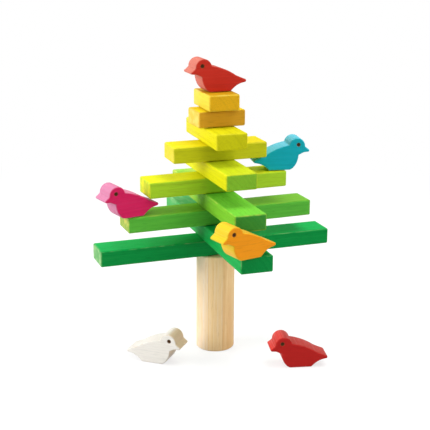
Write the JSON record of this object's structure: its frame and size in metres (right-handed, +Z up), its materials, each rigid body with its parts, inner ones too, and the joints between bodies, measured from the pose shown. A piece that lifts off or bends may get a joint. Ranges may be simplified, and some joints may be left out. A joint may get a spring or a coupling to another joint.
{
  "type": "balancing tree game",
  "caption": "Wooden stacking toy: flat dyed branches crossed on a round bare-wood trunk to form a fir tree, with loose sawn birds perched on the branches and standing beside it.",
  "frame": {"origin": "centre of the trunk's foot, on the table", "axes": "+Z up the trunk, +X to the right along the lowest branch, +Y to the back along the second branch"},
  "size_m": [0.2012, 0.2106, 0.2461],
  "materials": {
    "bare_wood": "sanded, clear matt",
    "dark_green_wood": "dyed, matt",
    "leaf_green_wood": "dyed, matt",
    "lime_wood": "dyed, matt",
    "lemon_wood": "dyed, matt",
    "amber_wood": "dyed, matt",
    "red_wood": "dyed, matt",
    "blue_wood": "dyed, matt",
    "pink_wood": "dyed, matt",
    "orange_wood": "dyed, matt",
    "white_wood": "painted thin, matt",
    "crimson_wood": "dyed, matt"
  },
  "bodies": {
    "trunk": {"trunk": "bare_wood"},
    "branch_1": {"branch_1": "dark_green_wood"},
    "branch_2": {"branch_2": "dark_green_wood"},
    "branch_3": {"branch_3": "leaf_green_wood"},
    "branch_4": {"branch_4": "leaf_green_wood"},
    "branch_5": {"branch_5": "lime_wood"},
    "branch_6": {"branch_6": "lime_wood"},
    "branch_7": {"branch_7": "lemon_wood"},
    "branch_8": {"branch_8": "lemon_wood"},
    "branch_9": {"branch_9": "amber_wood"},
    "branch_10": {"branch_10": "amber_wood"},
    "bird_red": {"bird_red": "red_wood"},
    "bird_blue": {"bird_blue": "blue_wood"},
    "bird_pink": {"bird_pink": "pink_wood"},
    "bird_yellow": {"bird_yellow": "orange_wood"},
    "bird_white": {"bird_white": "white_wood"},
    "bird_crimson": {"bird_crimson": "crimson_wood"}
  },
  "joints": [
    {"name": "turn_branch_1", "type": "hinge", "parent": "trunk", "child": "branch_1", "pos_m": [-0.001, 0.0025, 0.0843], "axis": [0, 0, 1], "continuous": true},
    {"name": "turn_branch_2", "type": "hinge", "parent": "branch_1", "child": "branch_2", "pos_m": [-0.001, 0, 0.0978], "axis": [0, 0, 1], "continuous": true},
    {"name": "turn_branch_3", "type": "hinge", "parent": "branch_2", "child": "branch_3", "pos_m": [0.001, 0.0005, 0.1113], "axis": [0, 0, 1], "range_deg": [-180, 60]},
    {"name": "turn_branch_4", "type": "hinge", "parent": "branch_3", "child": "branch_4", "pos_m": [-0.0005, -0.0015, 0.1248], "axis": [0, 0, 1], "range_deg": [-60, 60]},
    {"name": "turn_branch_5", "type": "hinge", "parent": "branch_4", "child": "branch_5", "pos_m": [-0.0015, 0.0005, 0.1383], "axis": [0, 0, 1], "continuous": true},
    {"name": "turn_branch_6", "type": "hinge", "parent": "branch_5", "child": "branch_6", "pos_m": [-0.001, -0.001, 0.1518], "axis": [0, 0, 1], "range_deg": [-45, 50]},
    {"name": "turn_branch_7", "type": "hinge", "parent": "branch_6", "child": "branch_7", "pos_m": [-0.001, -0.002, 0.1653], "axis": [0, 0, 1], "continuous": true},
    {"name": "turn_branch_8", "type": "hinge", "parent": "branch_7", "child": "branch_8", "pos_m": [0, 0.001, 0.1788], "axis": [0, 0, 1], "continuous": true},
    {"name": "turn_branch_9", "type": "hinge", "parent": "branch_8", "child": "branch_9", "pos_m": [0.0005, 0.0005, 0.1923], "axis": [0, 0, 1], "continuous": true},
    {"name": "turn_branch_10", "type": "hinge", "parent": "branch_9", "child": "branch_10", "pos_m": [0.001, 0.0025, 0.2058], "axis": [0, 0, 1], "continuous": true},
    {"name": "lift_bird_red", "type": "slide", "parent": "branch_10", "child": "bird_red", "axis": [0, 0, 1], "range_m": [0, 0.04]},
    {"name": "draw_out_bird_blue", "type": "slide", "parent": "branch_5", "child": "bird_blue", "axis": [0.9653, 0.0337, 0.2588], "range_m": [0, 0.04]},
    {"name": "draw_out_bird_pink", "type": "slide", "parent": "branch_3", "child": "bird_pink", "axis": [-0.9657, -0.0202, 0.2588], "range_m": [0, 0.04]},
    {"name": "lift_bird_yellow", "type": "slide", "parent": "branch_2", "child": "bird_yellow", "axis": [0, 0, 1], "range_m": [0, 0.04]},
    {"name": "lift_bird_white", "type": "slide", "parent": "trunk", "child": "bird_white", "axis": [0, 0, 1], "range_m": [0, 0.04]},
    {"name": "lift_bird_crimson", "type": "slide", "parent": "trunk", "child": "bird_crimson", "axis": [0, 0, 1], "range_m": [0, 0.04]}
  ]
}
